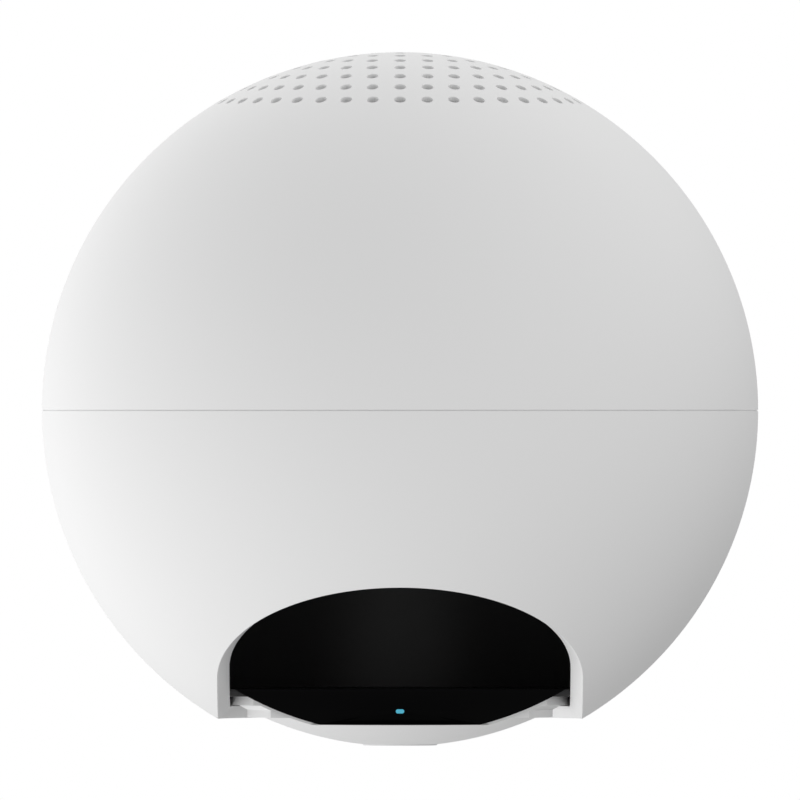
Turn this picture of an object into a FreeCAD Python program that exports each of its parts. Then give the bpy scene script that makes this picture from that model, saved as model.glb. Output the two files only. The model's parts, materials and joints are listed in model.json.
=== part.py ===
"""Ball-shaped smart speaker, as an assembly.

The ball is two plastic shells that meet at its equator. The upper shell has rings of sound holes round
its pole, over an upward-facing loudspeaker. The lower shell has a round mouth at its bottom that runs
forward as an arched niche. A glossy black liner closes the niche from inside, and a bowl concentric with
the ball fills the mouth, with a black front panel and a status light on its front step.

Lengths are in millimetres. +Z is up, the niche faces -Y, and the origin is on the surface that the foot
rests on, under the ball's centre. Heights inside each piece are counted from the ball's centre, and every
finished piece is then lifted by centre_height.
"""

import math
import os
import re

import FreeCAD
import Part
import Sketcher

SIZES = {
    "ball_radius": 57.5, "shell_wall": 2.7, "seam_gap": 0.16, "centre_height": 53.75,
    "tongue_radius": 54.6, "tongue_wall": 1.3, "tongue_rise": 2.5, "tongue_drop": 3.0,
    "hole_diameter": 1.8, "hole_ring_step": 4.343, "hole_rings": 7,
    "mouth_radius": 29.14, "neck_radius": 27.2, "niche_tilt": 30.2,
    "liner_wall": 1.5, "liner_gap": 0.1, "liner_ceiling": -25.0, "liner_floor": -44.64, "liner_base": -45.8,
    "bowl_radius": 53.9, "bowl_rim": -47.2, "collar_radius": 24.5, "flange_radius": 26.9,
    "bowl_wall": 1.9, "cavity_floor": -50.3, "base_seat": 0.8,
    "panel_front": 14.63, "panel_thick": 1.5, "panel_foot": -50.3, "panel_round": 51.88,
    "light_width": 1.4, "light_height": 0.7, "light_level": -48.15,
    "foot_radius": 6.0, "foot_seat": -52.6, "foot_chamfer": 0.15,
    "base_screw_circle": 9.5, "base_boss_radius": 3.0, "base_boss_end": -49.3, "ballast_thick": 3.0,
    "screw_radius": 1.2, "pilot_radius": 1.25, "clear_radius": 1.4, "head_radius": 2.4, "head_height": 0.8,
    "chassis_radius": 53.0, "chassis_low": 5.5, "chassis_thick": 3.0, "driver_cutout": 29.5,
    "post_circle": 36.0, "post_radius": 2.5, "boss_circle": 44.0, "boss_radius": 3.2,
    "board_radius": 39.0, "board_low": -20.6, "board_thick": 1.6,
    "gasket_thick": 0.5, "driver_screw_circle": 32.4, "flange_top": 10.6,
    "window_start": 15.0, "window_radius": 2.6, "window_length": 16.0, "window_level": 2.2,
    "magnet_radius": 18.0, "magnet_bore": 10.0, "magnet_low": -14.0, "magnet_high": -6.0,
    "plate_bore": 9.1, "plate_high": -3.5, "yoke_low": -16.5, "pole_radius": 7.6,
    "former_inner": 8.0, "former_outer": 8.35, "former_low": -7.5, "former_high": 3.2,
    "coil_outer": 8.75, "coil_low": -7.0, "coil_high": -2.6,
    "mesh_outer": 54.7, "mesh_thick": 0.4, "mesh_radius": 30.2,
    "mic_ring_outer": 35.5, "mic_ring_inner": 29.5, "mic_board_low": 39.8, "mic_board_thick": 1.0,
    "mic_circle": 32.5,
    "port_width": 24.0, "port_height": 8.0, "port_level": -16.0, "port_face": 48.2, "port_panel_thick": 2.0,
    "port_rim": 1.5, "port_board_depth": 7.0, "port_board_thick": 1.2,
    "usb_width": 8.94, "usb_height": 3.2, "usb_depth": 7.3, "usb_wall": 0.3,
    "control_offset": 8.5, "button_radius": 1.2, "button_gap": 0.1, "slider_travel": 2.0,
}

doc = FreeCAD.newDocument("smart_speaker")
sheet = doc.addObject("Spreadsheet::Sheet", "Sizes")
for row, (alias, value) in enumerate(SIZES.items(), start=1):
    sheet.set(f"A{row}", alias)
    sheet.set(f"B{row}", str(value))
    sheet.setAlias(f"B{row}", alias)
doc.recompute()

NODES = []
QUARTERS = (0, 90, 180, 270)
DIAGONALS = (45, 135, 225, 315)
THIRDS = (90, 210, 330)
BEHIND = (30, 90, 150)
ALONG_Y = FreeCAD.Rotation(FreeCAD.Vector(1, 0, 0), -90)
OVER = FreeCAD.Vector(0, 1, 0)


def size(name):
    """The sheet's value, for the few shapes that are worked out in code."""
    return float(sheet.get(name))


def formula(text):
    """Turns size names in a formula into references to the sheet."""
    return re.sub(r"[a-z_]+", lambda word: "Sizes." + word.group() if word.group() in SIZES else word.group(),
                  str(text))


def bind(item, **formulas):
    for name, text in formulas.items():
        item.setExpression(name, formula(text))
    return item


def place(item, x, y, z, rotation=None):
    if rotation:
        item.Placement = FreeCAD.Placement(FreeCAD.Vector(), rotation)
    item.setExpression("Placement.Base.x", formula(x))
    item.setExpression("Placement.Base.y", formula(y))
    item.setExpression("Placement.Base.z", formula(z))
    return item


def cylinder(radius, height, x="0", y="0", z="0", rotation=None):
    item = bind(doc.addObject("Part::Cylinder", "cylinder"), Radius=radius, Height=height)
    return place(item, x, y, z, rotation)


def cone(low_radius, high_radius, height, x="0", y="0", z="0", rotation=None):
    item = bind(doc.addObject("Part::Cone", "cone"), Radius1=low_radius, Radius2=high_radius, Height=height)
    return place(item, x, y, z, rotation)


def sphere(radius):
    return bind(doc.addObject("Part::Sphere", "sphere"), Radius=radius)


def box(wide, deep, tall, x="0", y="0", z="0"):
    """A box centred on x, from y backwards and from z upwards."""
    item = bind(doc.addObject("Part::Box", "box"), Length=wide, Width=deep, Height=tall)
    return place(item, f"{x} - ({wide}) / 2", y, z)


def fuse(*items):
    item = doc.addObject("Part::MultiFuse", "fusion")
    item.Shapes = list(items)
    return item


def common(*items):
    item = doc.addObject("Part::MultiCommon", "common")
    item.Shapes = list(items)
    return item


def cut(base, *tools):
    item = doc.addObject("Part::Cut", "cut")
    item.Base = base
    item.Tool = tools[0] if len(tools) == 1 else fuse(*tools)
    return item


def group(*items):
    item = doc.addObject("Part::Compound", "group")
    item.Links = list(items)
    return item


def node(label, item):
    """Names a finished piece and lifts it from the ball's centre to its height over the foot."""
    shift = item.Placement.Base.z
    formulas = dict(item.ExpressionEngine)
    height = formulas.get("Placement.Base.z") or formulas.get(".Placement.Base.z") or shift
    item.setExpression("Placement.Base.z", f"Sizes.centre_height + ({height})")
    item.Label = label
    NODES.append(item)
    return item


def around(circle, degrees):
    """The x and y formulas of a point on a circle about the vertical axis."""
    return f"{circle} * cos({degrees} deg)", f"{circle} * sin({degrees} deg)"


def rods(radius, height, circle, angles, z):
    """Equal upright cylinders on a circle about the vertical axis."""
    return [cylinder(radius, height, *around(circle, degrees), z) for degrees in angles]


def turned(label, outline):
    """A body made by turning an outline of (radius, height) corners about the vertical axis."""
    body = doc.addObject("PartDesign::Body", label + "_body")
    sketch = body.newObject("Sketcher::SketchObject", label + "_outline")
    plane = [feature for feature in body.Origin.OriginFeatures if feature.Role == "XZ_Plane"][0]
    sketch.AttachmentSupport = (plane, [""])
    sketch.MapMode = "FlatFace"
    corners = [(measure(radius), measure(height)) for radius, height in outline]
    count = len(corners)
    for index, corner in enumerate(corners):
        following = corners[(index + 1) % count]
        sketch.addGeometry(Part.LineSegment(FreeCAD.Vector(*corner, 0), FreeCAD.Vector(*following, 0)))
    for index in range(count):
        sketch.addConstraint(Sketcher.Constraint("Coincident", index, 2, (index + 1) % count, 1))
    for index, (formulas, corner) in enumerate(zip(outline, corners)):
        for kind, axis, text, value in (("DistanceX", -2, formulas[0], corner[0]),
                                        ("DistanceY", -1, formulas[1], corner[1])):
            hold(sketch, kind, axis, index, text, value)
    turn = body.newObject("PartDesign::Revolution", label + "_turn")
    turn.Profile = (sketch, [""])
    turn.ReferenceAxis = (sketch, ["V_Axis"])
    turn.Angle = 360
    sketch.Visibility = False
    return body


def revolved(label, outline):
    return node(label, turned(label, outline))


def hold(sketch, kind, axis, index, text, value):
    """Holds one coordinate of an outline's corner to its formula."""
    if abs(value) < 1e-9:
        sketch.addConstraint(Sketcher.Constraint("PointOnObject", index, 1, axis))
        return
    if value > 0:
        number = sketch.addConstraint(Sketcher.Constraint(kind, -1, 1, index, 1, value))
        sketch.setExpression(f"Constraints[{number}]", formula(text))
        return
    number = sketch.addConstraint(Sketcher.Constraint(kind, index, 1, -1, 1, -value))
    sketch.setExpression(f"Constraints[{number}]", f"-({formula(text)})")


def measure(text):
    """The value of a sum of sizes and numbers, for an outline's first guess."""
    if isinstance(text, (int, float)):
        return float(text)
    total = 0.0
    for sign, word in re.findall(r"([+-]?)\s*([a-z_]+|[0-9.]+)", text):
        value = size(word) if word in SIZES else float(word)
        total += -value if sign == "-" else value
    return total


# ---- Shells -------------------------------------------------------------------------------------------

def half_shell(side):
    """Half of the hollow ball, from half the seam gap outwards; side is 1 for upper and -1 for lower."""
    ball = cut(sphere("ball_radius"), sphere("ball_radius - shell_wall"))
    low = "seam_gap / 2" if side > 0 else "-seam_gap / 2 - ball_radius"
    return common(ball, cylinder("ball_radius + 1", "ball_radius", z=low))


def sound_hole_drills():
    """Drills for the sound holes: a pole hole, then rings of six, twelve and so on, one always in front."""
    drills = []
    length = "shell_wall * 4"
    start = "ball_radius - shell_wall * 2"
    for ring in range(int(size("hole_rings")) + 1):
        for step in range(max(1, 6 * ring)):
            turn = FreeCAD.Rotation(FreeCAD.Vector(0, 0, 1), -90 + 360 * step / max(1, 6 * ring))
            lean = FreeCAD.Rotation(FreeCAD.Vector(0, 1, 0), ring * size("hole_ring_step"))
            aim = turn.multiply(lean)
            way = aim.multVec(FreeCAD.Vector(0, 0, 1))
            drill = bind(doc.addObject("Part::Cylinder", "drill"), Radius="hole_diameter / 2", Height=length)
            drills.append(place(drill, *(f"({start}) * {part:.9f}" for part in way), aim))
    return group(*drills)


def upper_shell():
    bosses = common(fuse(*rods("boss_radius", "36 - chassis_low - chassis_thick", "boss_circle", DIAGONALS,
                               "chassis_low + chassis_thick"),
                         *rods("2", "6", "mic_circle", THIRDS, "mic_board_low + mic_board_thick")),
                    sphere("ball_radius - 1"))
    pilots = rods("pilot_radius", "10", "boss_circle", DIAGONALS, "chassis_low + chassis_thick")
    pilots += rods("0.85", "3", "mic_circle", THIRDS, "mic_board_low + mic_board_thick")
    node("upper_shell", cut(fuse(half_shell(1), bosses), sound_hole_drills(), *pilots))


def niche_cutters():
    """The mouth about the vertical, the same mouth leaned forward, and the sector swept between them."""
    slope = "(mouth_radius - neck_radius) / (sqrt(ball_radius^2 - mouth_radius^2)" \
            " - sqrt((ball_radius - shell_wall)^2 - neck_radius^2))"
    neck_depth = "sqrt((ball_radius - shell_wall)^2 - neck_radius^2)"
    reach = f"(ball_radius + 2 - {neck_depth})"
    flare = f"({slope}) * {reach}"
    down = FreeCAD.Rotation(FreeCAD.Vector(1, 0, 0), 180)
    forward = FreeCAD.Rotation(FreeCAD.Vector(1, 0, 0), -size("niche_tilt")).multiply(down)
    tools = []
    for aim in (down, forward):
        way = aim.multVec(FreeCAD.Vector(0, 0, 1))
        start = [f"({neck_depth}) * {part:.9f}" for part in way]
        back = [f"({neck_depth} - 8) * {part:.9f}" for part in way]
        tools.append(cone("neck_radius", f"neck_radius + {flare}", reach, *start, aim))
        tools.append(cylinder("neck_radius", "8.01", *back, aim))
    across = FreeCAD.Rotation(FreeCAD.Vector(0, 0, -1), FreeCAD.Vector(0, -1, 0), FreeCAD.Vector(-1, 0, 0))
    mirrored = FreeCAD.Rotation(FreeCAD.Vector(0, 0, -1), FreeCAD.Vector(0, 1, 0), FreeCAD.Vector(1, 0, 0))
    sector = cylinder("ball_radius + 2", f"2 * (neck_radius + {flare})", f"neck_radius + {flare}",
                      rotation=across)
    bind(sector, Angle="niche_tilt")
    cheeks = []
    for aim, side in ((across, "-1"), (mirrored, "1")):
        cheeks.append(cone(neck_depth, f"{neck_depth} + {reach}", flare, f"{side} * neck_radius",
                           rotation=aim))
    tools.append(cut(sector, *cheeks))
    return tools


def lower_shell():
    tongue = cut(cylinder("tongue_radius", "tongue_rise + tongue_drop", z="-tongue_drop"),
                 cylinder("tongue_radius - tongue_wall", "tongue_rise + tongue_drop + 2",
                          z="-tongue_drop - 1"))
    tongue_root = common(cut(cylinder("ball_radius", "tongue_drop - 0.2", z="-tongue_drop"),
                             cylinder("tongue_radius - 0.2", "tongue_drop + 1", z="-tongue_drop - 0.5")),
                         sphere("ball_radius - 1"))
    rim = common(box("port_width + 2 * port_rim", "12", "port_height + 2 * port_rim", y="port_face",
                     z="port_level - port_height / 2 - port_rim"), sphere("ball_radius - 1"))
    opening = box("port_width", "20", "port_height", y="port_face - 1", z="port_level - port_height / 2")
    skin = fuse(half_shell(-1), tongue, tongue_root, rim)
    node("lower_shell", cut(skin, opening, *niche_cutters()))


# ---- Niche and base -----------------------------------------------------------------------------------

def channel(half_width, low, high):
    """A U-shaped block: round at the back about the vertical axis, and straight to the front."""
    return fuse(cylinder(half_width, f"({high}) - ({low})", z=low),
                box(f"2 * ({half_width})", "60", f"({high}) - ({low})", y="-60", z=low))


def niche_liner():
    outer = common(channel("neck_radius + liner_wall", "liner_base", "liner_ceiling + liner_wall"),
                   sphere("ball_radius - shell_wall - liner_gap"))
    inner = channel("neck_radius", "liner_floor", "liner_ceiling")
    step = box("80", "60", "liner_floor - liner_base + 1", y="-60 - panel_front + panel_thick",
               z="liner_base - 1")
    bosses = rods("base_boss_radius", "liner_base - base_boss_end", "base_screw_circle", BEHIND,
                  "base_boss_end")
    pilots = rods("pilot_radius", "liner_base - base_boss_end + 0.4", "base_screw_circle", BEHIND,
                  "base_boss_end")
    node("niche_liner", cut(fuse(cut(outer, inner, step), *bosses), *pilots))


def base_bowl():
    cap = common(sphere("bowl_radius"), cylinder("bowl_radius", "bowl_radius + bowl_rim + 2",
                                                 z="-bowl_radius - 2"))
    collar = cylinder("collar_radius", "liner_base - bowl_rim + 1", z="bowl_rim - 1")
    flange = cylinder("flange_radius", "liner_base - bowl_rim", z="bowl_rim")
    step = box("80", "40", "20", y="-40 - panel_front + panel_thick", z="panel_foot")
    cavity = common(sphere("bowl_radius - bowl_wall"),
                    box("80", "80", "20", y="-panel_front + panel_thick", z="cavity_floor"))
    foot_seat = cylinder("foot_radius + 0.05", "5", z="foot_seat - 5")
    heads = rods("head_radius + 0.2", "5", "base_screw_circle", BEHIND, "cavity_floor - base_seat - 5")
    shanks = rods("clear_radius", "5", "base_screw_circle", BEHIND, "cavity_floor - 3")
    node("base_bowl", cut(fuse(cap, collar, flange), step, cavity, foot_seat, *heads, *shanks))


def status_light(half_width, half_height, deep, y):
    """A pill-shaped bar along Y at the status light's place."""
    level = "light_level"
    ends = [cylinder(half_height, deep, f"{side} * (({half_width}) - ({half_height}))", y, level, ALONG_Y)
            for side in (-1, 1)]
    middle = box(f"2 * (({half_width}) - ({half_height}))", deep, f"2 * ({half_height})", y=y,
                 z=f"{level} - ({half_height})")
    return fuse(middle, *ends)


def front_panel():
    disc = cylinder("panel_round", "panel_thick", y="-panel_front", rotation=ALONG_Y)
    band = box("80", "10", "liner_floor - panel_foot", y="-panel_front - 5", z="panel_foot")
    window = status_light("light_width / 2", "light_height / 2", "panel_thick + 2", "-panel_front - 1")
    node("front_panel", cut(common(disc, band), window))
    lens = status_light("light_width / 2 - 0.02", "light_height / 2 - 0.02", "panel_thick", "-panel_front")
    node("led_lens", lens)
    node("led_board", box("14", "0.8", "2.6", y="-panel_front + panel_thick + 0.8", z="light_level - 1.3"))
    node("status_led", box("1.2", "0.6", "0.6", y="-panel_front + panel_thick + 0.2",
                           z="light_level - 0.3"))


def base_weights():
    plate = common(sphere("bowl_radius - bowl_wall - 0.3"),
                   box("60", "60", "ballast_thick", y="-11", z="cavity_floor"))
    node("ballast_weight", cut(plate, *rods("base_boss_radius + 0.3", "10", "base_screw_circle", BEHIND,
                                            "cavity_floor - 2")))
    revolved("foot_pad", [(0, "foot_seat"), ("foot_radius", "foot_seat"),
                          ("foot_radius", "-centre_height + foot_chamfer"),
                          ("foot_radius - foot_chamfer", "-centre_height"), (0, "-centre_height")])
    heads = rods("head_radius", "head_height", "base_screw_circle", BEHIND,
                 "cavity_floor - base_seat - head_height")
    shanks = rods("screw_radius", "4.4", "base_screw_circle", BEHIND, "cavity_floor - base_seat")
    node("base_screws", group(*(fuse(head, shank) for head, shank in zip(heads, shanks))))


# ---- Chassis, boards and microphones ------------------------------------------------------------------

def screws(label, radius, length, head, head_high, circle, angles, seat, upward):
    """A group of screws whose heads bear on seat; upward is true where they are driven from below."""
    pieces = []
    for degrees in angles:
        x, y = around(circle, degrees)
        head_low = f"({seat}) - ({head_high})" if upward else seat
        shank_low = seat if upward else f"({seat}) - ({length})"
        pieces.append(fuse(cylinder(head, head_high, x, y, head_low),
                           cylinder(radius, length, x, y, shank_low)))
    node(label, group(*pieces))


def chassis():
    disc = cylinder("chassis_radius", "chassis_thick", z="chassis_low")
    posts = rods("post_radius", "chassis_low - board_low - board_thick + 1", "post_circle", QUARTERS,
                 "board_low + board_thick")
    tools = [cylinder("driver_cutout", "10", z="chassis_low - 3")]
    tools += rods("clear_radius", "10", "boss_circle", DIAGONALS, "chassis_low - 3")
    tools += rods("1.15", "10", "driver_screw_circle", DIAGONALS, "chassis_low - 3")
    tools += rods("pilot_radius", "8", "post_circle", QUARTERS, "board_low + board_thick - 1")
    node("chassis", cut(fuse(disc, *posts), *tools))
    screws("chassis_screws", "screw_radius", "11", "head_radius", "1.4", "boss_circle", DIAGONALS,
           "chassis_low", True)


def main_board():
    holes = rods("clear_radius", "4", "post_circle", QUARTERS, "board_low - 1")
    node("main_board", cut(cylinder("board_radius", "board_thick", z="board_low"), *holes))
    screws("board_screws", "screw_radius", "7", "head_radius", "1.4", "post_circle", QUARTERS,
           "board_low", True)
    top = "board_low + board_thick"
    node("shield_can", box("18", "18", "1.6", y="-9", z=top))
    places = (("24", "6"), ("-24", "6"), ("22", "-14"), ("-22", "-14"))
    chips = [box("7", "7", "1", x, y, top) for x, y in places]
    node("board_chips", group(*chips))
    places = (("-8", "27"), ("0", "27"), ("8", "27"), ("0", "-27"))
    cans = [cylinder("2.5", "6", x, y, top) for x, y in places]
    node("board_capacitors", group(*cans))
    node("antenna_board", box("22", "1", "9", y="43", z="chassis_low - 9"))


def microphones():
    ring = cut(cylinder("mic_ring_outer", "mic_board_thick", z="mic_board_low"),
               cylinder("mic_ring_inner", "4", z="mic_board_low - 1"),
               *rods("1", "4", "mic_circle", THIRDS, "mic_board_low - 1"))
    node("microphone_board", ring)
    places = [around("mic_circle", degrees) for degrees in (0, 60, 120, 180, 240, 300)]
    capsules = [box("3", "4", "1", x, f"{y} - 2", "mic_board_low + mic_board_thick") for x, y in places]
    node("microphones", group(*capsules))
    screws("microphone_screws", "0.8", "3.2", "1.6", "0.8", "mic_circle", THIRDS, "mic_board_low", True)
    sheet_dome = common(cut(sphere("mesh_outer"), sphere("mesh_outer - mesh_thick")),
                        cylinder("mesh_radius", "60", z="20"))
    node("acoustic_mesh", sheet_dome)


# ---- Loudspeaker --------------------------------------------------------------------------------------

def ring_outline(inner, outer, low, high):
    return [(inner, low), (outer, low), (outer, high), (inner, high)]


def surround_outline():
    """A half roll with a flat flange each side, on the cone's rim and on the frame."""
    middle, level, inner, outer = 27.1, 10.9, 1.4, 1.9
    steps = 8
    turns = [math.pi * step / steps for step in range(steps + 1)]
    roll_in = [(middle - inner * math.cos(turn), level + inner * math.sin(turn)) for turn in turns]
    roll_out = [(middle + outer * math.cos(turn), level + outer * math.sin(turn)) for turn in turns]
    flange = [(28.5, "flange_top"), (30.8, "flange_top"), (30.8, level)]
    return [(23.6, 10.5), (25.7, 10.5)] + roll_in + flange + roll_out + [(23.6, level)]


def spider_outline():
    """A thin corrugated disc from the coil former to its seat on the frame."""
    crests = 4
    inner, outer, low, rise, thick = 8.35, 19.2, 1.0, 0.8, 0.35
    radii = [inner + 1 + (16.8 - inner - 1) * step / (2 * crests) for step in range(2 * crests + 1)]
    under = [(inner, low)] + [(radius, low + rise * (step % 2)) for step, radius in enumerate(radii)]
    over = [(radius, low + thick + rise * (step % 2)) for step, radius in enumerate(radii)]
    return under + [(outer, low), (outer, low + thick)] + over[::-1] + [(inner, low + thick)]


def loudspeaker():
    gasket = cut(cylinder("34", "gasket_thick", z="chassis_low + chassis_thick"),
                 cylinder("driver_cutout", "4", z="chassis_low + chassis_thick - 1"),
                 *rods("1.15", "4", "driver_screw_circle", DIAGONALS, "chassis_low + chassis_thick - 1"))
    node("driver_gasket", gasket)
    frame = turned("driver_frame", [
        (34, 9), (34, "flange_top"), (27, "flange_top"), (26.6, 5), (19.6, 1), (17.4, 1), (17.4, -2.3),
        (12, -2.3), (12, "plate_high"), (18.8, "plate_high"), (19.4, -0.6), (28.2, 4.2), (28.8, 9)])
    windows = []
    for degrees in range(0, 360, 45):
        aim = FreeCAD.Rotation(FreeCAD.Vector(0, 0, 1), degrees).multiply(FreeCAD.Rotation(OVER, 90))
        x, y = around("window_start", degrees)
        windows.append(cylinder("window_radius", "window_length", x, y, "window_level", aim))
    holes = rods("1.15", "4", "driver_screw_circle", DIAGONALS, "flange_top - 3")
    node("driver_frame", cut(frame, *windows, *holes))
    screws("driver_screws", "1.1", "6", "1.5", "1.2", "driver_screw_circle", DIAGONALS, "flange_top", False)
    revolved("magnet", ring_outline("magnet_bore", "magnet_radius", "magnet_low", "magnet_high"))
    revolved("top_plate", ring_outline("plate_bore", "magnet_radius", "magnet_high", "plate_high"))
    revolved("yoke", [(0, "yoke_low"), ("magnet_radius", "yoke_low"), ("magnet_radius", "magnet_low"),
                      ("pole_radius", "magnet_low"), ("pole_radius", "plate_high"), (0, "plate_high")])
    revolved("coil_former", ring_outline("former_inner", "former_outer", "former_low", "former_high"))
    revolved("voice_coil", ring_outline("former_outer", "coil_outer", "coil_low", "coil_high"))
    revolved("speaker_cone", [("former_outer", 2.2), (23.6, 9.9), (25.6, 9.9), (25.6, 10.5), (23.4, 10.5),
                      ("former_outer", 2.9)])
    revolved("dust_cap", [(0, 6.0), (3.4, 5.7), (6.6, 4.85), (9.0, 3.6), (9.5, 3.6), (9.3, 4.0), (6.8, 5.2),
                          (3.5, 6.1), (0, 6.4)])
    revolved("spider", spider_outline())
    revolved("surround", surround_outline())


# ---- Port and controls at the back --------------------------------------------------------------------

def pill(width, height, deep, x, y, level):
    """A bar along Y with a section of straight top and bottom and round ends."""
    radius = f"({height}) / 2"
    reach = f"(({width}) / 2 - {radius})"
    ends = [cylinder(radius, deep, f"{x} + {side} * {reach}", y, level, ALONG_Y) for side in (-1, 1)]
    return fuse(box(f"2 * {reach}", deep, height, x, y, f"{level} - {radius}"), *ends)


def port():
    back = "port_face - port_panel_thick"
    level = "port_level"
    plate = box("port_width + 2 * port_rim", "port_panel_thick", "port_height + 2 * port_rim", y=back,
                z="port_level - port_height / 2 - port_rim")
    usb_hole = pill("usb_width + 0.1", "usb_height + 0.1", "6", "0", "port_face - 4", level)
    slot = box("5.2", "6", "1.8", "-control_offset", "port_face - 4", "port_level - 0.9")
    button_hole = cylinder("button_radius + button_gap", "6", "control_offset", "port_face - 4", level,
                           ALONG_Y)
    node("port_panel", cut(plate, usb_hole, slot, button_hole))
    socket = cut(pill("usb_width", "usb_height", "usb_depth", "0", "port_face - usb_depth", level),
                 pill("usb_width - 2 * usb_wall", "usb_height - 2 * usb_wall", "usb_depth", "0",
                      "port_face - usb_depth + 0.8", level))
    tongue = box("6.7", "usb_depth - 1.2", "0.7", y="port_face - usb_depth + 0.2", z="port_level - 0.35")
    node("usb_socket", fuse(socket, tongue))
    board_top = "port_level - usb_height / 2"
    node("port_board", box("port_width", "port_board_depth", "port_board_thick",
                           y=f"{back} - port_board_depth", z=f"{board_top} - port_board_thick"))
    node("mute_switch", box("6.5", "2.6", "2.4", "-control_offset", f"{back} - 3.0", board_top))
    node("reset_switch", box("4.2", "2.6", "2.6", "control_offset", f"{back} - 3.4", board_top))
    start = "-control_offset - slider_travel / 2"
    grip = box("2.0", "2.4", "1.4", start, f"{back} - 0.1", "port_level - 0.7")
    pad = box("2.6", "0.3", "2.0", start, f"{back} - 0.35", "port_level - 1.0")
    node("mute_slider", fuse(grip, pad))
    stem = cylinder("button_radius", "2.5", "control_offset", back, level, ALONG_Y)
    collar = cylinder("button_radius + 0.3", "0.3", "control_offset", f"{back} - 0.35", level, ALONG_Y)
    link = cylinder("button_radius", "0.5", "control_offset", f"{back} - 0.3", level, ALONG_Y)
    node("reset_button", fuse(stem, collar, link))


upper_shell()
lower_shell()
niche_liner()
base_bowl()
front_panel()
base_weights()
chassis()
main_board()
microphones()
loudspeaker()
port()
doc.recompute()

faults = [item.Label for item in doc.Objects if {"Invalid", "Error"} & set(item.State)]
faults += [item.Label for item in NODES if item.Shape.isNull() or not item.Shape.isValid()]
if faults:
    raise RuntimeError("failed features: " + ", ".join(faults))
os.makedirs("parts", exist_ok=True)
for item in NODES:
    item.Shape.exportStep(f"parts/{item.Label}.step")
    print(f"{item.Label:18s} solids {len(item.Shape.Solids):2d} volume {item.Shape.Volume:10.1f}")
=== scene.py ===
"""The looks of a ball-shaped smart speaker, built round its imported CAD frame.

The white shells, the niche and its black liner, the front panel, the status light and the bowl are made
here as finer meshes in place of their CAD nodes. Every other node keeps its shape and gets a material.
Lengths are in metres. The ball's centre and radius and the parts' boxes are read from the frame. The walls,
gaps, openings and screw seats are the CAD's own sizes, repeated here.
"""

import json
import math

import bmesh
import bpy
import numpy as np
from mathutils import Matrix, Vector


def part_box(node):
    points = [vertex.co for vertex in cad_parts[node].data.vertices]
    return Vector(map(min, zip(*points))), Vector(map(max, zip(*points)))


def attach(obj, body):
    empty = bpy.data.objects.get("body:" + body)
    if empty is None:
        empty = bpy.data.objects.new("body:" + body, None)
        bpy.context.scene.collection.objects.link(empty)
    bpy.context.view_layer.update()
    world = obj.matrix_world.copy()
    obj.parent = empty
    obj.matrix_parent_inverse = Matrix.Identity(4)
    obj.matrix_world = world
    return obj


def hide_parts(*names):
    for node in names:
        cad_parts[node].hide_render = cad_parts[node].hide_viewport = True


MM = 0.001
ROUND_STEPS = 160
ARC_STEPS = 56
HOUSING = "housing"

# Far ends of the cutters, well past what they cut: across, along, up, and beyond the ball's surface.
CUT_ACROSS = 40 * MM
CUT_ALONG = 60 * MM
CUT_TOP = 30 * MM
CUT_PAST = 5 * MM

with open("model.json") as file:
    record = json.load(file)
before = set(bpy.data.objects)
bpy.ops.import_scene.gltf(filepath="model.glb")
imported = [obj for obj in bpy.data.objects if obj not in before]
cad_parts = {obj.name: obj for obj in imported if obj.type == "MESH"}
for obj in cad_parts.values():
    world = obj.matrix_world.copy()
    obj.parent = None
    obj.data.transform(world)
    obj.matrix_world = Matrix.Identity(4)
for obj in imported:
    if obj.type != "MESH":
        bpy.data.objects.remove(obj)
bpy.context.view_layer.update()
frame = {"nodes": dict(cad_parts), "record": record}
NODES = frame["nodes"]

# ---- Sizes ----------------------------------------------------------------------------------------------

shell_low, shell_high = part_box("upper_shell")
RADIUS = (shell_high[0] - shell_low[0]) / 2
SEAM = 0.08 * MM
SEAM_DEPTH = 0.16 * MM
CENTRE = Vector((0, 0, shell_low[2] - SEAM))
WALL = 2.7 * MM
INNER = RADIUS - WALL

HOLE_RINGS = 7
HOLE_STEP = math.radians(4.343)
HOLE_RADIUS = 0.9 * MM

MOUTH = 29.14 * MM
NECK = 27.2 * MM
TILT = math.radians(30.2)

liner_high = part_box("niche_liner")[1]
LINER_BASE = CENTRE.z - 45.8 * MM
LINER_WALL = 1.5 * MM
LINER_GAP = 0.1 * MM

panel_low, panel_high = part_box("front_panel")
PANEL_ROUND = math.hypot(panel_high[0], panel_high[2] - CENTRE.z)
lens_low, lens_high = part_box("led_lens")
WINDOW_GAP = 0.04 * MM
PANEL_EDGE = 0.07 * MM
bowl_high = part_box("base_bowl")[1]
BOWL_RADIUS = 53.9 * MM
BOWL_WALL = 1.9 * MM
BOWL_RIM = CENTRE.z - 47.2 * MM
COLLAR = 24.5 * MM
FLANGE = 26.9 * MM
SEAT_GAP = 0.05 * MM
BASE_SCREWS = (30, 90, 150)
SCREW_CIRCLE = 9.5 * MM
SCREW_HEAD = 2.6 * MM
SCREW_SHANK = 1.4 * MM
SCREW_SEAT = CENTRE.z - 51.1 * MM
SCREW_END = CENTRE.z - 48 * MM
foot_low, foot_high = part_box("foot_pad")
port_low, port_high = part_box("port_panel")
PORT_RIM = 1.5 * MM
PORT_CORNER = 1.2 * MM
TUNNEL_SINK = 0.6 * MM
TONGUE_OUTER = 54.6 * MM
TONGUE_INNER = 53.3 * MM
TONGUE_CHAMFER = 0.3 * MM


# ---- Mesh helpers ---------------------------------------------------------------------------------------

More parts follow.
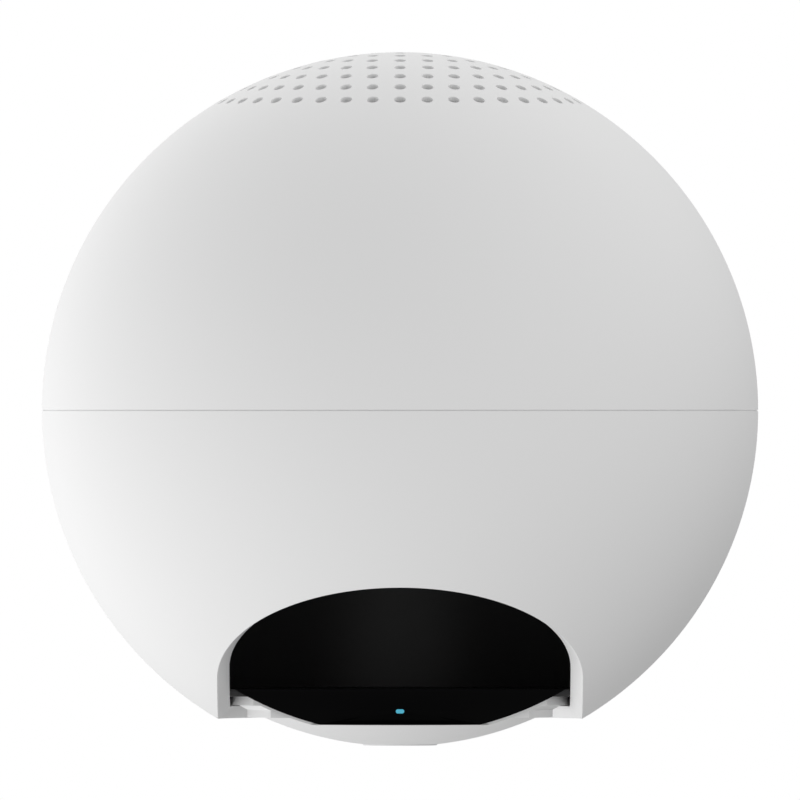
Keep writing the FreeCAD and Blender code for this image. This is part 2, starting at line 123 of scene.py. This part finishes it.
def mesh_object(name, points, faces):
    mesh = bpy.data.meshes.new(name)
    mesh.from_pydata([tuple(point) for point in points], [], faces)
    shape = bmesh.new()
    shape.from_mesh(mesh)
    bmesh.ops.remove_doubles(shape, verts=shape.verts, dist=1e-7)
    bmesh.ops.recalc_face_normals(shape, faces=shape.faces)
    shape.to_mesh(mesh)
    shape.free()
    item = bpy.data.objects.new(name, mesh)
    bpy.context.collection.objects.link(item)
    return item


def lathe(name, outline, steps=ROUND_STEPS):
    """A solid turned about the ball's vertical axis from a closed outline of (radius, height) corners."""
    points = []
    for radius, height in outline:
        for step in range(steps):
            angle = 2 * math.pi * step / steps
            points.append((radius * math.cos(angle), radius * math.sin(angle), height))
    count = len(outline)
    faces = []
    for level in range(count):
        following = (level + 1) % count
        if outline[level][0] == outline[following][0] == 0:
            continue
        for step in range(steps):
            beside = (step + 1) % steps
            face = [level * steps + step, level * steps + beside, following * steps + beside,
                    following * steps + step]
            faces.append(face)
    item = mesh_object(name, points, faces)
    clean(item)
    return item


def clean(item):
    """Dissolves the edges and faces that have shrunk to nothing, as at a pole."""
    shape = bmesh.new()
    shape.from_mesh(item.data)
    bmesh.ops.dissolve_degenerate(shape, dist=1e-8, edges=shape.edges)
    shape.to_mesh(item.data)
    shape.free()


def stack(name, rings):
    """A closed solid skinned over rings of equally many points, with a fan over each end."""
    count = len(rings[0])
    points = [point for ring in rings for point in ring]
    faces = []
    for level in range(len(rings) - 1):
        for step in range(count):
            beside = (step + 1) % count
            faces.append([level * count + step, level * count + beside, (level + 1) * count + beside,
                          (level + 1) * count + step])
    for first, ring in ((0, rings[0]), ((len(rings) - 1) * count, rings[-1])):
        points.append(sum((Vector(point) for point in ring), Vector()) / count)
        faces += [[first + step, first + (step + 1) % count, len(points) - 1] for step in range(count)]
    return mesh_object(name, points, faces)


def block(name, low, high):
    corners = [[(low[0], low[1]), (high[0], low[1]), (high[0], high[1]), (low[0], high[1])]] * 2
    return stack(name, [[(x, y, z) for x, y in ring] for ring, z in zip(corners, (low[2], high[2]))])


def combine(item, other, operation):
    """Applies a boolean of another solid to an item, and removes the other. It's done in millimetres."""
    for mesh in (item.data, other.data):
        mesh.transform(Matrix.Scale(1 / MM, 4))
    modifier = item.modifiers.new(operation.lower(), "BOOLEAN")
    modifier.object = other
    modifier.operation = operation
    modifier.solver = "EXACT"
    apply_modifiers(item)
    item.data.transform(Matrix.Scale(MM, 4))
    bpy.data.objects.remove(other)
    return item


def apply_modifiers(item):
    bpy.context.view_layer.update()
    graph = bpy.context.evaluated_depsgraph_get()
    mesh = bpy.data.meshes.new_from_object(item.evaluated_get(graph))
    item.modifiers.clear()
    old = item.data
    item.data = mesh
    bpy.data.meshes.remove(old)


def bevel(item, width, segments=3):
    modifier = item.modifiers.new("edges", "BEVEL")
    modifier.width = width
    modifier.segments = segments
    modifier.limit_method = "ANGLE"
    modifier.angle_limit = math.radians(35)
    apply_modifiers(item)


def smooth(item, *radii):
    """Shades an item smooth up to its sharp edges, and faces on the given spheres exactly round."""
    mesh = item.data
    for polygon in mesh.polygons:
        polygon.use_smooth = True
    mesh.set_sharp_from_angle(angle=math.radians(28))
    if not radii:
        return
    points = np.empty(len(mesh.vertices) * 3)
    mesh.vertices.foreach_get("co", points)
    outward = points.reshape(-1, 3) - np.array(CENTRE)
    distance = np.linalg.norm(outward, axis=1)
    normals = np.empty(len(mesh.loops) * 3)
    mesh.corner_normals.foreach_get("vector", normals)
    normals = normals.reshape(-1, 3)
    corners = np.empty(len(mesh.loops), dtype=np.int32)
    mesh.loops.foreach_get("vertex_index", corners)
    tolerance = 0.03 * MM
    for radius, side in radii:
        near = np.abs(distance - radius) < tolerance
        for polygon in mesh.polygons:
            span = slice(polygon.loop_start, polygon.loop_start + polygon.loop_total)
            if near[corners[span]].all():
                normals[span] = side * outward[corners[span]] / distance[corners[span], None]
    mesh.normals_split_custom_set([tuple(normal) for normal in normals])


# ---- Shells ---------------------------------------------------------------------------------------------

def half_shell(name, side):
    """Half of the hollow ball, from the seam to its pole; side is 1 for upper and -1 for lower."""
    outline = []
    for radius, sweep in ((RADIUS, range(ARC_STEPS + 1)), (INNER, range(ARC_STEPS, -1, -1))):
        for step in sweep:
            angle = math.pi / 2 * step / ARC_STEPS
            height = max(radius * math.sin(angle), SEAM)
            outline.append((radius * math.cos(angle) if step < ARC_STEPS else 0, CENTRE.z + side * height))
    if side < 0:
        lap = RADIUS - SEAM_DEPTH
        outline += [(INNER, CENTRE.z + 0.9 * SEAM), (lap, CENTRE.z + 0.9 * SEAM), (lap, CENTRE.z - SEAM)]
    return lathe(name, outline)


def sound_drills():
    """One mesh of all the sound holes' drills, each with a mouth that flares as a small rounded edge."""
    # Height above the ball's surface, and spread beyond the hole's radius, in millimetres.
    flare = [(-4, 0), (-0.16, 0), (-0.08, 0.03), (-0.02, 0.08), (0.03, 0.16), (0.8, 0.9)]
    corners = 28
    points = []
    faces = []
    for ring in range(HOLE_RINGS + 1):
        for step in range(max(1, 6 * ring)):
            turn = -math.pi / 2 + 2 * math.pi * step / max(1, 6 * ring)
            aim = Matrix.Rotation(turn, 3, "Z") @ Matrix.Rotation(ring * HOLE_STEP, 3, "Y")
            first = len(points)
            for rise, spread in flare:
                for corner in range(corners):
                    angle = 2 * math.pi * corner / corners
                    radius = HOLE_RADIUS + spread * MM
                    local = Vector((radius * math.cos(angle), radius * math.sin(angle), RADIUS + rise * MM))
                    points.append(CENTRE + aim @ local)
            for level in range(len(flare) - 1):
                for corner in range(corners):
                    here = first + level * corners
                    beside = (corner + 1) % corners
                    faces.append([here + corner, here + beside, here + corners + beside,
                                  here + corners + corner])
            last = first + (len(flare) - 1) * corners
            faces.append(list(range(first + corners - 1, first - 1, -1)))
            faces.append(list(range(last, last + corners)))
    return mesh_object("drills", points, faces)


def make_upper_shell():
    shell = combine(half_shell("upper_shell_skin", 1), sound_drills(), "DIFFERENCE")
    smooth(shell, (RADIUS, 1), (INNER, -1))
    finish(shell, "upper_shell", "white_shell")


def niche_ring(depth, half_width):
    """One level of the niche's cutter: a round end below, straight sides forward, and a leaned round end."""
    steps = 72
    lean = 24
    ring = []
    for step in range(steps + 1):
        angle = math.pi * step / steps
        ring.append(Vector((half_width * math.cos(angle), half_width * math.sin(angle), -depth)))
    for step in range(1, lean):
        angle = TILT * step / lean
        ring.append(Vector((-half_width, -depth * math.sin(angle), -depth * math.cos(angle))))
    axis = Vector((0, -math.sin(TILT), -math.cos(TILT)))
    ahead = Vector((0, -math.cos(TILT), math.sin(TILT)))
    for step in range(steps + 1):
        angle = math.pi + math.pi * step / steps
        ring.append(axis * depth + Vector((half_width * math.cos(angle), 0, 0))
                    - ahead * half_width * math.sin(angle))
    for step in range(lean - 1, 0, -1):
        angle = TILT * step / lean
        ring.append(Vector((half_width, -depth * math.sin(angle), -depth * math.cos(angle))))
    return [CENTRE + point for point in ring]


def niche_cutter():
    neck_depth = math.sqrt(INNER ** 2 - NECK ** 2)
    mouth_depth = math.sqrt(RADIUS ** 2 - MOUTH ** 2)
    slope = (MOUTH - NECK) / (mouth_depth - neck_depth)
    levels = [(neck_depth - 6 * MM, NECK), (neck_depth - 0.1 * MM, NECK)]
    levels.append((neck_depth + 0.1 * MM, NECK + 0.1 * MM))
    # Height above the mouth, and spread beyond the sloping side, in millimetres.
    lip = ((-0.30, 0), (-0.18, 0.02), (-0.08, 0.06), (0, 0.13), (0.06, 0.24), (0.1, 0.4))
    for rise, spread in lip:
        levels.append((mouth_depth + rise * MM, MOUTH + slope * rise * MM + spread * MM))
    widening = 36 * MM
    levels.append((RADIUS + CUT_ACROSS, MOUTH + widening))
    return stack("niche_cutter", [niche_ring(*level) for level in levels])


def rounded_rectangle(width, height, corner, steps=8):
    """The outline of a rectangle with round corners, as (across, up) points about its middle."""
    outline = []
    for quarter in range(4):
        side_x = 1 if quarter in (0, 3) else -1
        side_y = 1 if quarter in (0, 1) else -1
        for step in range(steps + 1):
            angle = math.pi / 2 * (quarter + step / steps)
            outline.append((side_x * (width / 2 - corner) + corner * math.cos(angle),
                            side_y * (height / 2 - corner) + corner * math.sin(angle)))
    return outline


def port_bar(name, grow, front, back):
    """A bar along Y with the port opening's rounded section, widened all round by grow."""
    wide = port_high[0] - port_low[0] - 2 * PORT_RIM + 2 * grow
    tall = port_high[2] - port_low[2] - 2 * PORT_RIM + 2 * grow
    level = (port_high[2] + port_low[2]) / 2
    outline = rounded_rectangle(wide, tall, PORT_CORNER + grow)
    return stack(name, [[(x, y, level + z) for x, z in outline] for y in (front, back)])


def make_lower_shell():
    shell = half_shell("lower_shell_skin", -1)
    combine(shell, niche_cutter(), "DIFFERENCE")
    combine(shell, port_bar("port_cutter", 0, port_high[1] - 2 * MM, RADIUS + CUT_PAST), "DIFFERENCE")
    smooth(shell, (RADIUS, 1), (INNER, -1))
    finish(shell, "lower_shell", "white_shell")
    tunnel = port_bar("port_tunnel", PORT_RIM, port_high[1], RADIUS)
    combine(tunnel, ball("tunnel_limit", RADIUS - TUNNEL_SINK), "INTERSECT")
    combine(tunnel, port_bar("tunnel_bore", 0, port_high[1] - CUT_PAST, RADIUS + CUT_PAST), "DIFFERENCE")
    smooth(tunnel)
    finish(tunnel, "lower_shell", "white_shell")
    root = CENTRE.z - 3 * MM
    shoulder = CENTRE.z + 2.2 * MM
    top = CENTRE.z + 2.5 * MM
    outline = [(TONGUE_OUTER, root), (TONGUE_OUTER, shoulder), (TONGUE_OUTER - TONGUE_CHAMFER, top),
               (TONGUE_INNER, top), (TONGUE_INNER, root)]
    tongue = lathe("seam_tongue", outline)
    smooth(tongue)
    finish(tongue, "lower_shell", "white_shell")


# ---- Niche and base -------------------------------------------------------------------------------------

def ball(name, radius):
    outline = []
    for step in range(2 * ARC_STEPS + 1):
        angle = math.pi * step / (2 * ARC_STEPS)
        edge = step in (0, 2 * ARC_STEPS)
        outline.append((0 if edge else radius * math.sin(angle), CENTRE.z - radius * math.cos(angle)))
    return lathe(name, outline)


def channel(name, half_width, low, high):
    """A U-shaped block: round at the back about the vertical axis, and straight to the front."""
    steps = 128
    front = -CUT_ALONG
    ring = [(half_width * math.cos(math.pi * step / steps), half_width * math.sin(math.pi * step / steps))
            for step in range(steps + 1)] + [(-half_width, front), (half_width, front)]
    return stack(name, [[(x, y, z) for x, y in ring] for z in (low, high)])


def make_liner():
    ceiling = liner_high[2] - LINER_WALL
    liner = channel("niche_liner_skin", NECK + LINER_WALL, LINER_BASE, liner_high[2])
    combine(liner, ball("liner_limit", INNER - LINER_GAP), "INTERSECT")
    combine(liner, channel("niche_space", NECK, panel_high[2], ceiling), "DIFFERENCE")
    corner = (-CUT_ACROSS, -CUT_ALONG, LINER_BASE - MM)
    step = block("liner_step", corner, (CUT_ACROSS, panel_high[1], panel_high[2]))
    combine(liner, step, "DIFFERENCE")
    smooth(liner)
    finish(liner, "niche_liner", "black_satin")


def make_bowl():
    rise = 2 * MM
    lap = 0.05 * MM
    bowl = ball("base_bowl_skin", BOWL_RADIUS)
    limit = block("bowl_limit", (-CUT_ALONG, -CUT_ALONG, -MM), (CUT_ALONG, CUT_ALONG, BOWL_RIM))
    combine(bowl, limit, "INTERSECT")
    outline = [(0, BOWL_RIM - rise), (COLLAR, BOWL_RIM - rise), (COLLAR, BOWL_RIM - lap),
               (FLANGE, BOWL_RIM - lap), (FLANGE, bowl_high[2]), (0, bowl_high[2])]
    combine(bowl, lathe("collar", outline), "UNION")
    step = block("bowl_step", (-CUT_ACROSS, -CUT_ALONG, panel_low[2]), (CUT_ACROSS, panel_high[1], CUT_TOP))
    combine(bowl, step, "DIFFERENCE")
    hollow = ball("hollow", BOWL_RADIUS - BOWL_WALL)
    corner = (-CUT_ACROSS, panel_high[1], panel_low[2])
    limit = block("hollow_limit", corner, (CUT_ACROSS, CUT_ALONG, CUT_TOP))
    combine(hollow, limit, "INTERSECT")
    combine(bowl, hollow, "DIFFERENCE")
    seat = foot_high[0] + SEAT_GAP
    outline = [(0, -MM), (seat, -MM), (seat, foot_high[2]), (0, foot_high[2])]
    combine(bowl, lathe("foot_seat", outline), "DIFFERENCE")
    for degrees in BASE_SCREWS:
        turn = math.radians(degrees)
        place = Vector((SCREW_CIRCLE * math.cos(turn), SCREW_CIRCLE * math.sin(turn), 0))
        outline = [(0, -MM), (SCREW_HEAD, -MM), (SCREW_HEAD, SCREW_SEAT), (SCREW_SHANK, SCREW_SEAT),
                   (SCREW_SHANK, SCREW_END), (0, SCREW_END)]
        drill = lathe("screw_drill", outline, 48)
        drill.data.transform(Matrix.Translation(place))
        combine(bowl, drill, "DIFFERENCE")
    smooth(bowl, (BOWL_RADIUS, 1))
    finish(bowl, "base_bowl", "white_shell")


def pill(width, height, steps=16):
    """The outline of a bar with round ends, as (across, up) points about its middle."""
    radius = height / 2
    outline = []
    for side in (1, -1):
        for step in range(steps + 1):
            angle = math.pi * (step / steps - 0.5) + (0 if side > 0 else math.pi)
            outline.append((side * (width / 2 - radius) + radius * math.cos(angle), radius * math.sin(angle)))
    return outline


def make_panel():
    arc = 40
    start = math.acos((CENTRE.z - panel_high[2]) / PANEL_ROUND)
    end = math.acos((CENTRE.z - panel_low[2]) / PANEL_ROUND)
    turns = [start + (end - start) * step / arc for step in range(arc + 1)]
    side = [(PANEL_ROUND * math.sin(turn), CENTRE.z - PANEL_ROUND * math.cos(turn)) for turn in turns]
    outline = side + [(-x, z) for x, z in reversed(side)]
    front = panel_low[1]
    back = panel_high[1]
    panel = stack("front_panel_skin", [[(x, y, z) for x, z in outline] for y in (front, back)])
    level = (lens_low[2] + lens_high[2]) / 2
    wide = lens_high[0] - lens_low[0]
    tall = lens_high[2] - lens_low[2]
    window = pill(wide + WINDOW_GAP, tall + WINDOW_GAP)
    cut = stack("light_window", [[(x, y, level + z) for x, z in window] for y in (front - MM, back + MM)])
    combine(panel, cut, "DIFFERENCE")
    bevel(panel, PANEL_EDGE)
    smooth(panel)
    finish(panel, "front_panel", "black_gloss")
    lens_edge = ((back, 0), (front + 0.06 * MM, 0), (front + 0.02 * MM, 0.06 * MM), (front, 0.2 * MM))
    rings = []
    for y, shrink in lens_edge:
        rings.append([(x, y, level + z) for x, z in pill(wide - shrink, tall - shrink)])
    lens = stack("status_light", rings)
    smooth(lens)
    finish(lens, "led_lens", "light_lens")


def make_foot():
    radius = foot_high[0]
    round_edge = 0.25 * MM
    steps = 6
    outline = [(0, foot_high[2]), (radius, foot_high[2])]
    for step in range(steps + 1):
        angle = math.pi / 2 * step / steps
        outline.append((radius - round_edge + round_edge * math.cos(angle),
                        foot_low[2] + round_edge - round_edge * math.sin(angle)))
    outline.append((0, foot_low[2]))
    foot = lathe("foot_pad_skin", outline)
    smooth(foot)
    finish(foot, "foot_pad", "rubber")


# ---- Materials ------------------------------------------------------------------------------------------

def material(name, colour, roughness, grain, bump=0.0, vary=0.04, metal=0.0, specular=0.5, glow=None):
    """A Principled material whose tone, roughness and fine relief follow noise of the given grain."""
    item = bpy.data.materials.new(name)
    item.use_nodes = True
    tree = item.node_tree
    shader = tree.nodes["Principled BSDF"]
    place = tree.nodes.new("ShaderNodeTexCoord")
    noise = tree.nodes.new("ShaderNodeTexNoise")
    noise.inputs["Scale"].default_value = grain
    noise.inputs["Detail"].default_value = 3
    tree.links.new(place.outputs["Object"], noise.inputs["Vector"])
    tone = tree.nodes.new("ShaderNodeValToRGB")
    tone.color_ramp.elements[0].color = (*[channel_value * (1 - vary) for channel_value in colour], 1)
    tone.color_ramp.elements[1].color = (*[min(1, channel_value * (1 + vary)) for channel_value in colour], 1)
    tree.links.new(noise.outputs["Fac"], tone.inputs["Fac"])
    tree.links.new(tone.outputs["Color"], shader.inputs["Base Color"])
    gloss = tree.nodes.new("ShaderNodeMapRange")
    gloss.inputs["To Min"].default_value = roughness * 0.9
    gloss.inputs["To Max"].default_value = roughness * 1.1
    tree.links.new(noise.outputs["Fac"], gloss.inputs["Value"])
    tree.links.new(gloss.outputs["Result"], shader.inputs["Roughness"])
    shader.inputs["Metallic"].default_value = metal
    shader.inputs["Specular IOR Level"].default_value = specular
    if bump:
        relief = tree.nodes.new("ShaderNodeBump")
        relief.inputs["Strength"].default_value = bump
        relief.inputs["Distance"].default_value = 0.02 * MM
        tree.links.new(noise.outputs["Fac"], relief.inputs["Height"])
        tree.links.new(relief.outputs["Normal"], shader.inputs["Normal"])
    if glow:
        shader.inputs["Emission Color"].default_value = (*glow[0], 1)
        shader.inputs["Emission Strength"].default_value = glow[1]
    return item


MATERIALS = {
    "white_shell": material("white_shell", (0.775, 0.775, 0.775), 0.42, 5200, bump=0.12, vary=0.008,
                            specular=0.4),
    "black_gloss": material("black_gloss", (0.0012, 0.0012, 0.0013), 0.14, 900, vary=0.1, specular=0.03),
    "black_satin": material("black_satin", (0.034, 0.034, 0.0345), 0.42, 2600, bump=0.1, vary=0.1,
                            specular=0.3),
    "black_plastic": material("black_plastic", (0.025, 0.025, 0.026), 0.5, 4200, bump=0.2),
    "steel": material("steel", (0.55, 0.55, 0.57), 0.3, 1500, bump=0.1, metal=1.0),
    "copper": material("copper", (0.72, 0.35, 0.2), 0.3, 3000, bump=0.3, metal=1.0),
    "cone_paper": material("cone_paper", (0.05, 0.05, 0.052), 0.85, 2400, bump=0.6, vary=0.15),
    "rubber": material("rubber", (0.70, 0.70, 0.70), 0.6, 3600, bump=0.25),
    "circuit_board": material("circuit_board", (0.02, 0.16, 0.06), 0.4, 800, vary=0.2),
    "chip": material("chip", (0.03, 0.03, 0.032), 0.45, 2600, bump=0.15),
    "light_lens": material("light_lens", (0.05, 0.35, 0.5), 0.25, 900, glow=((0.10, 0.60, 0.80), 0.42)),
    "mesh_cloth": material("mesh_cloth", (0.42, 0.42, 0.42), 0.9, 5000, bump=0.9, vary=0.3),
    "magnet": material("magnet", (0.06, 0.06, 0.065), 0.6, 1800, bump=0.4),
}


def dress(item, slot):
    item.data.materials.clear()
    item.data.materials.append(MATERIALS[slot])


def finish(item, node, slot):
    """Gives a new piece its material and body, and lets it stand for its CAD node."""
    dress(item, slot)
    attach(item, HOUSING)
    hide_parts(node)


make_upper_shell()
make_lower_shell()
make_liner()
make_bowl()
make_panel()
make_foot()

for part in frame["record"]["subparts"]:
    dress(NODES[part["node"]], part["material_slot"])


# ---- Studio ---------------------------------------------------------------------------------------------

ROOM_LEVEL = 0.76
ROOM_SLOPE = (-0.338, 0.017, 0.131)
ROOM_CURVE = ((0.364, -0.281, 0.45), (-0.281, -0.026, 0.281), (0.45, 0.281, 0.0))


def dot(tree, source, vector):
    item = tree.nodes.new("ShaderNodeVectorMath")
    item.operation = "DOT_PRODUCT"
    tree.links.new(source, item.inputs[0])
    if isinstance(vector, tuple):
        item.inputs[1].default_value = vector
    else:
        tree.links.new(vector, item.inputs[1])
    return item.outputs["Value"]


def arithmetic(tree, operation, first, second):
    item = tree.nodes.new("ShaderNodeMath")
    item.operation = operation
    for socket, value in zip(item.inputs, (first, second)):
        if isinstance(value, float):
            socket.default_value = value
        else:
            tree.links.new(value, socket)
    return item.outputs["Value"]


def make_world():
    """White to the camera. To the speaker it's a soft room, with its tone a smooth function of direction."""
    world = bpy.data.worlds.new("studio")
    bpy.context.scene.world = world
    world.use_nodes = True
    tree = world.node_tree
    tree.nodes.clear()
    way = tree.nodes.new("ShaderNodeTexCoord").outputs["Generated"]
    bend = tree.nodes.new("ShaderNodeCombineXYZ")
    for socket, row in zip(bend.inputs, ROOM_CURVE):
        tree.links.new(dot(tree, way, row), socket)
    curve = dot(tree, way, bend.outputs["Vector"])
    level = arithmetic(tree, "ADD", arithmetic(tree, "ADD", curve, dot(tree, way, ROOM_SLOPE)), ROOM_LEVEL)
    room = tree.nodes.new("ShaderNodeBackground")
    room.inputs["Color"].default_value = (1, 1, 1, 1)
    tree.links.new(arithmetic(tree, "MAXIMUM", level, 0.0), room.inputs["Strength"])
    plain = tree.nodes.new("ShaderNodeBackground")
    plain.inputs["Color"].default_value = (1, 1, 1, 1)
    path = tree.nodes.new("ShaderNodeLightPath")
    mix = tree.nodes.new("ShaderNodeMixShader")
    tree.links.new(path.outputs["Is Camera Ray"], mix.inputs["Fac"])
    tree.links.new(room.outputs["Background"], mix.inputs[1])
    tree.links.new(plain.outputs["Background"], mix.inputs[2])
    output = tree.nodes.new("ShaderNodeOutputWorld")
    tree.links.new(mix.outputs["Shader"], output.inputs["Surface"])


def make_camera():
    """A long lens level with the ball's centre, where the ball fills the stated share of the width."""
    lens = bpy.data.cameras.new("camera")
    lens.lens = 1200
    lens.sensor_width = 36
    ball_share = 0.8955
    distance = 2 * RADIUS / ball_share * lens.lens / lens.sensor_width
    lens.shift_y = 0.013
    lens.clip_end = 50
    camera = bpy.data.objects.new("camera", lens)
    camera.location = (0, -distance, CENTRE.z)
    camera.rotation_euler = (math.pi / 2, 0, 0)
    bpy.context.collection.objects.link(camera)
    bpy.context.scene.camera = camera


make_world()
make_camera()
bpy.context.scene.view_settings.view_transform = "Standard"
